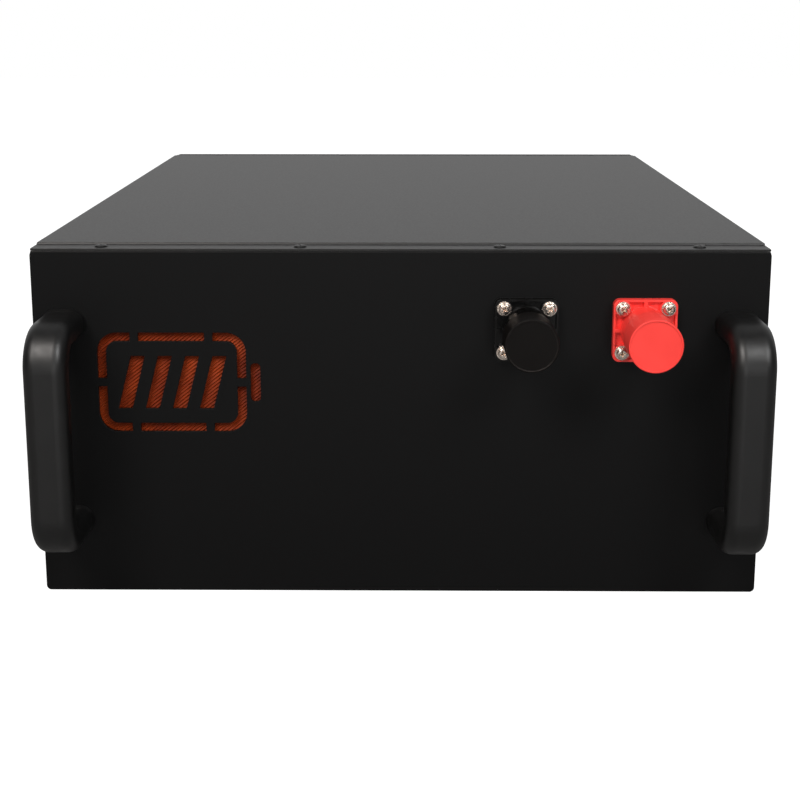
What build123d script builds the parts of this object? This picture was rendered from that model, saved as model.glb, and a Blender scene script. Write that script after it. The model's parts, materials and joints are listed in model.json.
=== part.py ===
"""Rack-height lithium battery pack: sheet-steel chassis, two capped terminals, sixteen prismatic cells.

Millimetres, +Z up. The origin is the centre of the chassis's bottom face, and the front panel faces -Y.
"""

import os
from math import pi, sqrt

from build123d import *

# ---------------------------------------------------------------- driving dimensions
# Chassis
width = 442.0
depth = 540.0
height = 217.5
shell_sheet = 1.5
front_sheet = 2.0
rear_sheet = 1.5
lid_sheet = 1.2
corner_radius = 3.0
flange = 14.0
front_panel_drop = 2.1
rear_panel_drop = 0.6
panel_edge_radius = 0.9

# Lid lips and the rails under them
lip = 15.0
lip_gap = 0.9
joggle_run = 0.7
lid_screw_inset = 7.5
lid_screw_span = 360.0
lid_screw_count = 4

# Fasteners: M4 for sheet metal, M6 for handles and cells, M8 and M10 for power
m4 = 4.0
m4_head = 7.6
m4_head_height = 2.6
m4_low_head_height = 1.1
m4_washer = 8.8
m4_washer_thickness = 0.84
m4_nut_flats = 7.0
m4_nut_height = 3.2
lid_screw_length = 6.5
rear_screw_length = 7.0
panel_stud_length = 11.0
terminal_screw_end = 2.0
stud_pip = 1.3
clinch_nut_diameter = 7.0
clinch_nut_height = 2.0
m6 = 6.0
m6_head = 11.0
m6_head_height = 3.8
m6_washer = 12.0
m6_nut_flats = 10.0
m6_nut_height = 5.0
m8 = 8.0
m8_washer = 16.0
m8_nut_flats = 13.0
m8_nut_height = 6.0
m10 = 10.0
m10_washer = 18.0
m10_nut_flats = 16.0
m10_nut_height = 8.0
washer_thickness = 1.2
head_rounding = 0.45
recess_length = 0.5
recess_width = 0.9
recess_depth = 0.8

# Clearances
thread_gap = 0.05
screw_clearance = 0.25
slide_gap = 0.35
gap = 0.5

# Handles
handle_height = 141.0
handle_reach = 53.5
handle_width = 25.5
handle_thickness = 17.0
handle_section_flat = 1.1
handle_bend_radius = 17.5
handle_inset = 18.7
foot_width = 27.0
foot_height = 18.5
foot_thickness = 4.0
foot_flare = 1.5
foot_draft = 10.0
insert_diameter = 8.0
insert_length = 12.0
insert_relief = 3.0
insert_end_gap = 1.0
bracket_sheet = 2.0
bracket_leg = 27.0
bracket_height = 166.0

# Terminals
negative_x = 75.7
positive_x = 146.3
terminal_drop = 49.0
base_edge = 5.5
base_radius = 4.0
base_thickness = 5.0
base_rim = 1.4
pocket_depth = 2.4
base_screw_margin = 0.192
screw_boss = 10.2
rib = 2.2
gasket = 1.0
cone_flare = 1.6
shoulder = 0.9
cone_reach = 24.5
neck = 24.0
neck_reach = 28.0
spigot = 25.4
spigot_length = 2.5
stud_collar = 18.0
collar_thickness = 1.2
stud_tip = 42.8
stud_tail = 20.0
stud_chamfer = 0.8
contact_washer_thickness = 2.4
cap_side_wall = 3.35
cap_front = 45.5
cap_length = 20.5
cap_end_wall = 2.2
cap_rim = 1.1
cap_rim_height = 0.35

# Emblem: a plain battery sign cut through the panel
emblem_x = -138.0
emblem_z = 134.5
emblem_width = 90.0
emblem_height = 62.0
emblem_stroke = 5.5
emblem_radius = 12.0
emblem_bridge = 5.0
nub_width = 6.0
nub_height = 24.0
nub_gap = 2.6
bar_width = 8.5
bar_height = 33.0
bar_slant = 8.5
bar_pitch = 16.5
bar_count = 4
inlay_margin = 7.0
inlay_thickness = 1.4
inlay_rib_pitch = 1.75
inlay_rib_height = 0.7
inlay_rib_angle = 38.0
tape_width = 4.0
tape_thickness = 0.5

# Cells
cell_width = 174.0
cell_thickness = 54.0
cell_height = 200.0
cell_radius = 3.0
cells_per_row = 8
row_gap = 12.0
post_offset = 61.0
post_diameter = 18.0
post_height = 2.0
end_plate = 8.0
end_plate_height = 190.0
strap_thickness = 0.8
strap_width = 16.0
strap_levels = (45.0, 145.0)
vent_length = 26.0
vent_width = 15.0
vent_depth = 0.5
can_chamfer = 0.8
spacer_drop = 4.0
foam_gap = 0.1
base_insulator_thickness = 1.5
front_space = 75.0
rear_gap = 6.5
busbar_thickness = 2.0
busbar_width = 24.0
busbar_radius = 4.0
top_insulator_thickness = 1.0
link_bar_front_gap = 4.0
positive_link_drop = 56.0
negative_link_drop = 16.0

# Management unit and wiring
bms_left = -196.0
bms_width = 146.0
bms_base = 14.0
bms_height = 98.0
bms_bracket_rear = 18.5
bms_bracket_foot = 24.0
bms_screw_inset = 8.0
bms_screw_head = 7.0
bms_screw_head_height = 2.4
bms_screw_end = 3.0
heatsink_thickness = 6.0
heatsink_edge = 20.0
fin_count = 9
board_thickness = 1.6
board_stand_off = 6.5
board_gap = 1.0
board_notch = 2.5
cover_depth = 20.5
cover_wall = 2.0
cover_radius = 3.0
cover_chamfer = 1.0
post_wall = 2.0
tab_width = 20.0
tab_thickness = 3.0
tab_reach = 28.0
output_tab_height = 36.0
battery_tab_x = -120.0
lug_tab_edge = 2.0
cable_diameter = 11.0
cable_inset = 8.0
barrel_wall = 1.0
barrel_length = 22.0
tongue_thickness = 2.5
tongue_diameter = 18.0
tongue_root = 12.0
lug_start = 10.0
positive_loop_rise = 18.0
output_cable_drop = 56.0
battery_cable_lead = 43.0
plug_inset = 28.0
plug_width = 30.0
plug_depth = 9.0
plug_height = 10.0
plug_radius = 1.0
loom_diameter = 6.0
loom_bend = 22.0
wire_diameter = 1.6
wire_rise = 1.5
lead_tab = 5.0
lead_tab_height = 3.0

# ---------------------------------------------------------------- derived places
front_y = -depth / 2
rear_y = depth / 2
tub_front = front_y + front_sheet
tub_rear = rear_y - rear_sheet
tub_length = tub_rear - tub_front
tub_top = height - lid_sheet
rail_top = tub_top - lid_sheet
inside_x = width / 2 - shell_sheet
notch = lip_gap + lip + joggle_run + gap
rail_depth = notch - gap
rail_drop = 16.0
front_panel_height = height - front_panel_drop
rear_panel_height = height - rear_panel_drop
lid_front = tub_front + lip_gap
lid_rear = tub_rear - lip_gap
terminal_z = height - terminal_drop
handle_x = width / 2 - handle_inset
handle_z = height / 2
handle_section_radius = handle_thickness / 2 - handle_section_flat
foot_z = handle_height / 2 - foot_height / 2 + (foot_height - handle_thickness) / 2

# The cables and the management unit keep their room at the front, and the cells share out the rest
block_front = tub_front + front_space
block_rear = tub_rear - rear_gap
row_length = block_rear - block_front - 2 * end_plate
cell_gap = (row_length - cells_per_row * cell_thickness) / (cells_per_row - 1)
cell_pitch = cell_thickness + cell_gap
first_cell = block_front + end_plate + cell_thickness / 2
cell_rows = {-1: -(row_gap + cell_width) / 2, 1: (row_gap + cell_width) / 2}
cell_ys = [first_cell + i * cell_pitch for i in range(cells_per_row)]
cell_base = shell_sheet + base_insulator_thickness
cell_top = cell_base + cell_height
busbar_base = cell_top + post_height
busbar_top = busbar_base + busbar_thickness
nut_top = busbar_top + m6_nut_height
inner_post = cell_rows[1] - post_offset
outer_post = cell_rows[1] + post_offset

m4_hole = m4 / 2 + screw_clearance
lid_screw_xs = [
    (i / (lid_screw_count - 1) - 0.5) * lid_screw_span for i in range(lid_screw_count)
]
lid_screw_places = [(x, lid_front + lid_screw_inset) for x in lid_screw_xs]
lid_screw_places += [(x, lid_rear - lid_screw_inset) for x in lid_screw_xs]
panel_fixing_top = rail_top - rail_drop / 2
panel_fixing_base = shell_sheet + flange / 2
panel_fixing_xs = [lid_screw_span * share for share in (-5 / 12, -1 / 12, 1 / 12, 5 / 12)]
front_fixings = [(x, z) for x in panel_fixing_xs for z in (panel_fixing_base, panel_fixing_top)]
rear_fixings = [(x, z) for x in lid_screw_xs for z in (panel_fixing_base, panel_fixing_top)]
handle_places = [(side * handle_x, handle_z + end * foot_z) for side in (-1, 1) for end in (-1, 1)]
terminal_xs = (negative_x, positive_x)
cone_tip = neck + 2 * shoulder
cone_base = cone_tip + 2 * cone_flare
cap_diameter = neck + 2 * (slide_gap + cap_side_wall)
base_screw_pitch = (cone_base + m4_washer + 2 * base_screw_margin) / sqrt(2)
base_size = base_screw_pitch + 2 * base_edge
base_screw_places = [
    (x + i * base_screw_pitch / 2, terminal_z + j * base_screw_pitch / 2)
    for x in terminal_xs
    for i in (-1, 1)
    for j in (-1, 1)
]
terminal_places = [(x, terminal_z) for x in terminal_xs]
base_top = gasket + base_thickness

os.makedirs("parts", exist_ok=True)


# ---------------------------------------------------------------- planes and repeated hardware
def front(out=0.0):
    """Plane facing forwards, `out` in front of the front panel's face; local x is X and local y is Z."""
    return Plane.XZ.offset(depth / 2 + out)


def facing_front(y):
    """Plane facing forwards at the given y."""
    return Plane.XZ.offset(-y)


def facing_rear(y):
    """Plane facing rearwards at the given y; local x is -X and local y is Z."""
    return Plane(origin=(0, y, 0), x_dir=(-1, 0, 0), z_dir=(0, 1, 0))


def along(plane):
    """Axis through a plane's origin, along its normal."""
    return Axis(plane.origin, plane.z_dir)


def screws(plane, places, diameter, length, head, head_height):
    """Pan-head cross-recess screws whose heads seat on the plane."""
    with BuildPart() as group:
        with BuildSketch(plane):
            with Locations(*places):
                Circle(head / 2)
        extrude(amount=head_height)
        crowns = group.faces().group_by(along(plane))[-1]
        fillet(crowns.edges(), head_height * head_rounding)
        with BuildSketch(plane):
            with Locations(*places):
                Circle(diameter / 2 - thread_gap)
        extrude(amount=-length)
        with BuildSketch(plane.offset(head_height)):
            with Locations(*places):
                Rectangle(head * recess_length, recess_width)
                Rectangle(recess_width, head * recess_length)
        extrude(amount=-head_height * recess_depth, mode=Mode.SUBTRACT)
    return group


def nuts(plane, places, flats, thickness, diameter):
    """Hexagon nuts standing on the plane, chamfered on their outer end."""
    with BuildPart() as group:
        with BuildSketch(plane):
            with Locations(*places):
                RegularPolygon(flats / 2, 6, major_radius=False)
        extrude(amount=thickness)
        with BuildSketch(plane):
            with Locations(*places):
                Circle(flats / 2 * 1.1)
        extrude(amount=thickness, mode=Mode.INTERSECT)
        with BuildSketch(plane):
            with Locations(*places):
                Circle(diameter / 2)
        extrude(amount=thickness, mode=Mode.SUBTRACT)
    return group


def rings(plane, places, outside, inside, thickness):
    """Flat rings, such as washers and clinch nuts, standing on the plane."""
    with BuildPart() as group:
        with BuildSketch(plane):
            with Locations(*places):
                Circle(outside / 2)
                Circle(inside / 2, mode=Mode.SUBTRACT)
        extrude(amount=thickness)
    return group


# ---------------------------------------------------------------- chassis
with BuildPart() as chassis_tub:
    with BuildSketch(facing_front(tub_rear)):
        with Locations((0, tub_top / 2)):
            outline = Rectangle(width, tub_top)
        fillet(outline.vertices().group_by(Axis.Z)[0], corner_radius)
        fillet(outline.vertices().group_by(Axis.Z)[-1], shell_sheet + gap)
    extrude(amount=tub_length)
    with BuildSketch(facing_front(tub_rear)):
        with Locations((0, tub_top / 2)):
            RectangleRounded(2 * inside_x, tub_top - 2 * shell_sheet, corner_radius - shell_sheet)
    extrude(amount=tub_length, mode=Mode.SUBTRACT)
    # Opening under the lid, between the flanges turned in from the sides
    with BuildSketch(Plane.XY.offset(tub_top - shell_sheet - gap)):
        Rectangle(width - 2 * flange, depth)
    extrude(amount=shell_sheet + 2 * gap, mode=Mode.SUBTRACT)
    # Both ends are cut down for the rails and the lid's lips
    with BuildSketch(Plane.XY.offset(tub_top - corner_radius - gap)):
        with Locations((0, tub_front + notch / 2), (0, tub_rear - notch / 2)):
            Rectangle(2 * inside_x, notch)
    extrude(amount=corner_radius + 2 * gap, mode=Mode.SUBTRACT)
    with BuildSketch(Plane.XY.offset(rail_top)):
        with Locations((0, tub_front + notch / 2), (0, tub_rear - notch / 2)):
            Rectangle(width, notch)
    extrude(amount=2 * lid_sheet, mode=Mode.SUBTRACT)
    # Flanges turned up from the floor carry the foot of each end panel
    for y in (tub_front + shell_sheet, tub_rear):
        with BuildSketch(facing_front(y)):
            with Locations((0, shell_sheet + flange / 2)):
                Rectangle(width - 2 * corner_radius - 4, flange)
        extrude(amount=shell_sheet)
    with BuildSketch(facing_front(tub_rear)):
        with Locations(*[(x, panel_fixing_base) for x in lid_screw_xs]):
            Circle(m4_hole)
    extrude(amount=shell_sheet, mode=Mode.SUBTRACT)
    with BuildSketch(facing_front(tub_front + shell_sheet)):
        with Locations(*[(x, panel_fixing_base) for x in panel_fixing_xs]):
            Circle(m4_hole)
    extrude(amount=shell_sheet, mode=Mode.SUBTRACT)
chassis_tub.part.label = "chassis_tub"
export_step(chassis_tub.part, "parts/chassis_tub.step")


def end_rail(face_y, inward, fixing_xs):
    """Angle across one end: its top leg carries the lid's lip, its upright leg the end panel."""
    with BuildPart() as rail:
        with BuildSketch(Plane.YZ.offset(-inside_x)):
            with BuildLine():
                Polyline(
                    (face_y, rail_top),
                    (face_y + inward * rail_depth, rail_top),
                    (face_y + inward * rail_depth, rail_top - shell_sheet),
                    (face_y + inward * shell_sheet, rail_top - shell_sheet),
                    (face_y + inward * shell_sheet, rail_top - rail_drop),
                    (face_y, rail_top - rail_drop),
                    close=True,
                )
            make_face()
        extrude(amount=2 * inside_x)
        with BuildSketch(Plane.XY.offset(rail_top)):
            with Locations(*[(x, y) for x, y in lid_screw_places if y * face_y > 0]):
                Circle(m4_hole)
        extrude(amount=-shell_sheet, mode=Mode.SUBTRACT)
        with BuildSketch(facing_front(face_y)):
            with Locations(*[(x, panel_fixing_top) for x in fixing_xs]):
                Circle(m4_hole)
        extrude(amount=-inward * shell_sheet, mode=Mode.SUBTRACT)
    return rail


front_rail = end_rail(tub_front, 1, panel_fixing_xs)
front_rail.part.label = "front_rail"
export_step(front_rail.part, "parts/front_rail.step")

rear_rail = end_rail(tub_rear, -1, lid_screw_xs)
rear_rail.part.label = "rear_rail"
export_step(rear_rail.part, "parts/rear_rail.step")

with BuildPart() as lid:
    with BuildSketch(Plane.YZ.offset(-width / 2)):
        with BuildLine():
            Polyline(
                (lid_front, rail_top),
                (lid_front + lip + joggle_run * 0.4, rail_top),
                (lid_front + lip + joggle_run * 1.4, tub_top),
                (lid_rear - lip - joggle_run * 1.4, tub_top),
                (lid_rear - lip - joggle_run * 0.4, rail_top),
                (lid_rear, rail_top),
                (lid_rear, tub_top),
                (lid_rear - lip, tub_top),
                (lid_rear - lip - joggle_run, height),
                (lid_front + lip + joggle_run, height),
                (lid_front + lip, tub_top),
                (lid_front, tub_top),
                close=True,
            )
        make_face()
    extrude(amount=width)
    fillet(lid.faces().sort_by(Axis.Z)[-1].edges().filter_by(Axis.Y), lid_sheet / 3)
    with BuildSketch(Plane.XY.offset(rail_top)):
        with Locations(*lid_screw_places):
            Circle(m4_hole)
    extrude(amount=lid_sheet, mode=Mode.SUBTRACT)
lid.part.label = "lid"
export_step(lid.part, "parts/lid.step")

lid_screws = screws(
    Plane.XY.offset(tub_top), lid_screw_places, m4, lid_screw_length, m4_head, m4_low_head_height
)
lid_screws.part.label = "lid_screws"
export_step(lid_screws.part, "parts/lid_screws.step")

# ---------------------------------------------------------------- front panel with its stencil-cut sign
with BuildPart() as front_panel:
    with BuildSketch(front()):
        with Locations((0, front_panel_height / 2)):
            face = Rectangle(width, front_panel_height)
        fillet(face.vertices().group_by(Axis.Z)[0], corner_radius)
        with Locations(*terminal_places):
            Circle(spigot / 2 + slide_gap, mode=Mode.SUBTRACT)
        with Locations(*base_screw_places):
            Circle(m4_hole, mode=Mode.SUBTRACT)
        with Locations(*handle_places):
            Circle(m6 / 2 + screw_clearance, mode=Mode.SUBTRACT)
    extrude(amount=-front_sheet)
    fillet(front_panel.faces().sort_by(Axis.Z)[-1].edges().filter_by(Axis.X), panel_edge_radius)
    # Outline of the sign, left open at six bridges that hold its middle
    with BuildSketch(front()):
        with Locations((emblem_x, emblem_z)):
            RectangleRounded(emblem_width, emblem_height, emblem_radius)
            RectangleRounded(
                emblem_width - 2 * emblem_stroke,
                emblem_height - 2 * emblem_stroke,
                emblem_radius - emblem_stroke,
                mode=Mode.SUBTRACT,
            )
            with GridLocations(emblem_width / 2, 0, 2, 1):
                Rectangle(emblem_bridge, emblem_height, mode=Mode.SUBTRACT)
            Rectangle(emblem_width, emblem_bridge, mode=Mode.SUBTRACT)
        nub_x = emblem_x + emblem_width / 2 + nub_gap + nub_width / 2
        with Locations((nub_x, emblem_z)):
            RectangleRounded(nub_width, nub_height, nub_width / 2.5)
        with Locations((emblem_x, emblem_z)):
            with GridLocations(bar_pitch, 0, bar_count, 1):
                Polygon(
                    (-(bar_width + bar_slant) / 2, -bar_height / 2),
                    ((bar_width - bar_slant) / 2, -bar_height / 2),
                    ((bar_width + bar_slant) / 2, bar_height / 2),
                    (-(bar_width - bar_slant) / 2, bar_height / 2),
                )
    extrude(amount=-front_sheet, mode=Mode.SUBTRACT)
front_panel.part.label = "front_panel"
export_step(front_panel.part, "parts/front_panel.step")

sign_width = emblem_width + nub_gap + nub_width
inlay_x = emblem_x + (sign_width - emblem_width) / 2
inlay_width = sign_width + 2 * inlay_margin
inlay_height = emblem_height + 2 * inlay_margin
tape_plane = front(-front_sheet)
with BuildPart() as emblem_tape:
    with BuildSketch(tape_plane):
        with Locations((inlay_x, emblem_z)):
            RectangleRounded(inlay_width, inlay_height, inlay_margin)
            RectangleRounded(
                inlay_width - 2 * tape_width,
                inlay_height - 2 * tape_width,
                inlay_margin - tape_width,
                mode=Mode.SUBTRACT,
            )
    extrude(amount=-tape_thickness)
emblem_tape.part.label = "emblem_tape"
export_step(emblem_tape.part, "parts/emblem_tape.step")

rib_direction = Vector(1, 0, 0).rotate(Axis.Y, -inlay_rib_angle)
rib_plane = Plane(
    origin=(inlay_x, tub_front + tape_thickness + inlay_thickness, emblem_z),
    x_dir=rib_direction.rotate(Axis.Y, -90),
    z_dir=rib_direction,
)
half_ribs = round(inlay_width * 0.62 / inlay_rib_pitch)
rib_profile = [(-half_ribs * inlay_rib_pitch, 0)]
for index in range(-half_ribs, half_ribs):
    root = inlay_thickness - inlay_rib_height
    rib_profile.append((index * inlay_rib_pitch, root))
    rib_profile.append(((index + 0.5) * inlay_rib_pitch, inlay_thickness))
rib_profile.append((half_ribs * inlay_rib_pitch, inlay_thickness - inlay_rib_height))
rib_profile.append((half_ribs * inlay_rib_pitch, 0))
with BuildPart() as emblem_inlay:
    with BuildSketch(rib_plane):
        with BuildLine():
            Polyline(*rib_profile, close=True)
        make_face()
    extrude(amount=inlay_width, both=True)
    with BuildSketch(tape_plane.offset(-tape_thickness)):
        with Locations((inlay_x, emblem_z)):
            RectangleRounded(inlay_width, inlay_height, inlay_margin)
    extrude(amount=-inlay_thickness, mode=Mode.INTERSECT)
emblem_inlay.part.label = "emblem_inlay"
export_step(emblem_inlay.part, "parts/emblem_inlay.step")

front_panel_studs = rings(
    front(-front_sheet), front_fixings, m4 - 2 * thread_gap, stud_pip, -panel_stud_length
)
front_panel_studs.part.label = "front_panel_studs"
export_step(front_panel_studs.part, "parts/front_panel_studs.step")

# ---------------------------------------------------------------- rear panel
with BuildPart() as rear_panel:
    with BuildSketch(facing_front(rear_y)):
        with Locations((0, rear_panel_height / 2)):
            face = Rectangle(width, rear_panel_height)
        fillet(face.vertices().group_by(Axis.Z)[0], corner_radius)
        with Locations(*rear_fixings):
            Circle(m4_hole, mode=Mode.SUBTRACT)
    extrude(amount=rear_sheet)
    fillet(rear_panel.faces().sort_by(Axis.Z)[-1].edges().filter_by(Axis.X), rear_sheet * 0.4)
rear_panel.part.label = "rear_panel"
export_step(rear_panel.part, "parts/rear_panel.step")

rear_places = [(-x, z) for x, z in rear_fixings]
rear_panel_screws = screws(
    facing_rear(rear_y), rear_places, m4, rear_screw_length, m4_head, m4_head_height
)
rear_panel_screws.part.label = "rear_panel_screws"
export_step(rear_panel_screws.part, "parts/rear_panel_screws.step")

# Clinch nuts pressed into both rails and the rear flange, for the lid's and the rear panel's screws
with BuildPart() as clinch_nuts:
    for plane, places in (
        (Plane.XY.offset(rail_top - shell_sheet - clinch_nut_height), lid_screw_places),
        (facing_front(tub_rear - shell_sheet), rear_fixings),
    ):
        with BuildSketch(plane):
            with Locations(*places):
                Circle(clinch_nut_diameter / 2)
                Circle(m4 / 2, mode=Mode.SUBTRACT)
        extrude(amount=clinch_nut_height)
clinch_nuts.part.label = "clinch_nuts"
export_step(clinch_nuts.part, "parts/clinch_nuts.step")


# ---------------------------------------------------------------- handles
def bow_handle(x):
    """Rigid bow handle with a foot at each end and a blind socket for a threaded insert in each foot."""
    low = handle_z - handle_height / 2 + handle_thickness / 2
    high = handle_z + handle_height / 2 - handle_thickness / 2
    grip_y = front_y - handle_reach + handle_thickness / 2
    with BuildPart() as handle:
        with BuildLine() as path:
            FilletPolyline(
                (x, front_y, low), (x, grip_y, low), (x, grip_y, high), (x, front_y, high),
                radius=handle_bend_radius,
            )
        with BuildSketch(Plane(origin=path.line @ 0, x_dir=(1, 0, 0), z_dir=path.line % 0)):
            RectangleRounded(handle_width, handle_thickness, handle_section_radius)
        sweep()
        with BuildSketch(front()):
            with Locations((x, handle_z - foot_z), (x, handle_z + foot_z)):
                RectangleRounded(foot_width, foot_height, handle_section_radius + foot_flare)
        extrude(amount=foot_thickness, taper=foot_draft)
        with BuildSketch(front()):
            with Locations((x, handle_z - foot_z), (x, handle_z + foot_z)):
                Circle(insert_diameter / 2)
        extrude(amount=insert_length + insert_relief, mode=Mode.SUBTRACT)
    return handle


left_handle = bow_handle(-handle_x)
left_handle.part.label = "left_handle"
export_step(left_handle.part, "parts/left_handle.step")

right_handle = bow_handle(handle_x)
right_handle.part.label = "right_handle"
export_step(right_handle.part, "parts/right_handle.step")

handle_inserts = rings(front(), handle_places, insert_diameter - 2 * thread_gap, m6, insert_length)
handle_inserts.part.label = "handle_inserts"
export_step(handle_inserts.part, "parts/handle_inserts.step")


def handle_bracket(side):
    """Angle behind one handle: one leg against the panel, the other against the chassis side."""
    outer = side * inside_x
    with BuildPart() as bracket:
        with BuildSketch(Plane.XY.offset(handle_z - bracket_height / 2)):
            with BuildLine():
                Polyline(
                    (outer, tub_front),
                    (outer - side * bracket_leg, tub_front),
                    (outer - side * bracket_leg, tub_front + bracket_sheet),
                    (outer - side * bracket_sheet, tub_front + bracket_sheet),
                    (outer - side * bracket_sheet, tub_front + bracket_leg),
                    (outer, tub_front + bracket_leg),
                    close=True,
                )
            make_face()
        extrude(amount=bracket_height)
        with BuildSketch(facing_front(tub_front)):
            with Locations(*[(x, z) for x, z in handle_places if x * side > 0]):
                Circle(m6 / 2 + screw_clearance)
        extrude(amount=-bracket_sheet, mode=Mode.SUBTRACT)
    return bracket


left_handle_bracket = handle_bracket(-1)
left_handle_bracket.part.label = "left_handle_bracket"
export_step(left_handle_bracket.part, "parts/left_handle_bracket.step")

right_handle_bracket = handle_bracket(1)
right_handle_bracket.part.label = "right_handle_bracket"
export_step(right_handle_bracket.part, "parts/right_handle_bracket.step")

handle_seat = tub_front + bracket_sheet
handle_washers = rings(
    facing_front(handle_seat), handle_places, m6_washer, m6 + 2 * screw_clearance, -washer_thickness
)
handle_washers.part.label = "handle_washers"
export_step(handle_washers.part, "parts/handle_washers.step")

handle_screw_reach = washer_thickness + bracket_sheet + front_sheet + insert_length - insert_end_gap
handle_screws = screws(
    facing_rear(handle_seat + washer_thickness),
    [(-x, z) for x, z in handle_places],
    m6,
    handle_screw_reach,
    m6_head,
    m6_head_height,
)
handle_screws.part.label = "handle_screws"
export_step(handle_screws.part, "parts/handle_screws.step")


# ---------------------------------------------------------------- terminals
def on_terminal(x, out):
    """Plane facing forwards on a terminal's axis, `out` in front of the panel's face."""
    return Plane(origin=(x, front_y - out, terminal_z), x_dir=(1, 0, 0), z_dir=(0, -1, 0))


def terminal_base(x):
    """Moulded insulator: a pocketed square flange, a cone that ends in a neck, and a spigot behind."""
    with BuildPart() as base:
        with BuildSketch(on_terminal(x, gasket)):
            RectangleRounded(base_size, base_size, base_radius)
        extrude(amount=base_thickness)
        inner = base_size - 2 * base_rim
        with BuildSketch(on_terminal(x, base_top)):
            RectangleRounded(inner, inner, base_radius - base_rim)
            with GridLocations(base_screw_pitch, base_screw_pitch, 2, 2):
                Circle(screw_boss / 2, mode=Mode.SUBTRACT)
            Rectangle(rib, base_size, mode=Mode.SUBTRACT)
            Rectangle(base_size, rib, mode=Mode.SUBTRACT)
            Circle(cone_base / 2, mode=Mode.SUBTRACT)
        extrude(amount=-pocket_depth, mode=Mode.SUBTRACT)
        with BuildSketch(on_terminal(x, base_top - pocket_depth)):
            Circle(cone_base / 2)
        with BuildSketch(on_terminal(x, cone_reach)):
            Circle(cone_tip / 2)
        loft()
        with BuildSketch(on_terminal(x, cone_reach)):
            Circle(neck / 2)
        extrude(amount=neck_reach - cone_reach)
        with BuildSketch(on_terminal(x, gasket)):
            Circle(spigot / 2)
        extrude(amount=-gasket - front_sheet - spigot_length)
        with BuildSketch(on_terminal(x, neck_reach)):
            Circle(m10 / 2 + thread_gap)
        extrude(amount=-neck_reach - front_sheet - spigot_length, mode=Mode.SUBTRACT)
        with BuildSketch(on_terminal(x, base_top)):
            with GridLocations(base_screw_pitch, base_screw_pitch, 2, 2):
                Circle(m4_hole)
        extrude(amount=-base_thickness, mode=Mode.SUBTRACT)
    return base


negative_terminal_base = terminal_base(negative_x)
negative_terminal_base.part.label = "negative_terminal_base"
export_step(negative_terminal_base.part, "parts/negative_terminal_base.step")

positive_terminal_base = terminal_base(positive_x)
positive_terminal_base.part.label = "positive_terminal_base"
export_step(positive_terminal_base.part, "parts/positive_terminal_base.step")


def terminal_cap(x):
    """Round pull-off cup that slides over the terminal's neck and hides the stud."""
    with BuildPart() as cap:
        with BuildSketch(on_terminal(x, cap_front)):
            Circle(cap_diameter / 2)
        extrude(amount=-cap_length)
        crown = cap.faces().sort_by(Axis.Y)[0]
        fillet(crown.edges(), cap_rim_height * 1.6)
        with BuildSketch(on_terminal(x, cap_front)):
            Circle(cap_diameter / 2 - cap_rim)
        extrude(amount=-cap_rim_height, mode=Mode.SUBTRACT)
        with BuildSketch(on_terminal(x, cap_front - cap_length)):
            Circle(neck / 2 + slide_gap)
        extrude(amount=cap_length - cap_end_wall, mode=Mode.SUBTRACT)
    return cap


negative_terminal_cap = terminal_cap(negative_x)
negative_terminal_cap.part.label = "negative_terminal_cap"
export_step(negative_terminal_cap.part, "parts/negative_terminal_cap.step")

positive_terminal_cap = terminal_cap(positive_x)
positive_terminal_cap.part.label = "positive_terminal_cap"
export_step(positive_terminal_cap.part, "parts/positive_terminal_cap.step")

with BuildPart() as terminal_gaskets:
    with BuildSketch(front()):
        with Locations(*terminal_places):
            RectangleRounded(base_size, base_size, base_radius)
            Circle(spigot / 2 + slide_gap, mode=Mode.SUBTRACT)
        with Locations(*base_screw_places):
            Circle(m4_hole, mode=Mode.SUBTRACT)
    extrude(amount=gasket)
terminal_gaskets.part.label = "terminal_gaskets"
export_step(terminal_gaskets.part, "parts/terminal_gaskets.step")

# M8 outside, for the user's cable; M10 through the base and inside, for the pack's own
spigot_reach = front_sheet + spigot_length
with BuildPart() as terminal_studs:
    for start, end, diameter in (
        (-spigot_reach - stud_tail, neck_reach, m10),
        (neck_reach, neck_reach + collar_thickness, stud_collar),
        (neck_reach, stud_tip, m8),
    ):
        with BuildSketch(front(start)):
            with Locations(*terminal_places):
                Circle(diameter / 2)
        extrude(amount=end - start)
    end_faces = terminal_studs.faces().group_by(Axis.Y)
    for end_face in (end_faces[0], end_faces[-1]):
        chamfer(end_face.edges(), stud_chamfer)
terminal_studs.part.label = "terminal_studs"
export_step(terminal_studs.part, "parts/terminal_studs.step")

# Inside, each cable lug sits on a contact washer against the end of the spigot
contact_seat = tub_front + spigot_length
lug_seat = contact_seat + contact_washer_thickness
contact_washers = rings(
    facing_front(contact_seat),
    terminal_places,
    stud_collar,
    m10 + 2 * screw_clearance,
    -contact_washer_thickness,
)
contact_washers.part.label = "contact_washers"
export_step(contact_washers.part, "parts/contact_washers.step")

terminal_screw_washers = rings(
    front(base_top), base_screw_places, m4_washer, 2 * m4_hole, m4_washer_thickness
)
terminal_screw_washers.part.label = "terminal_screw_washers"
export_step(terminal_screw_washers.part, "parts/terminal_screw_washers.step")

terminal_screw_seat = base_top + m4_washer_thickness
terminal_screw_length = terminal_screw_seat + front_sheet + m4_nut_height + terminal_screw_end
terminal_screws = screws(
    front(terminal_screw_seat),
    base_screw_places,
    m4,
    terminal_screw_length,
    m4_head,
    m4_head_height,
)
terminal_screws.part.label = "terminal_screws"
export_step(terminal_screws.part, "parts/terminal_screws.step")

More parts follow.
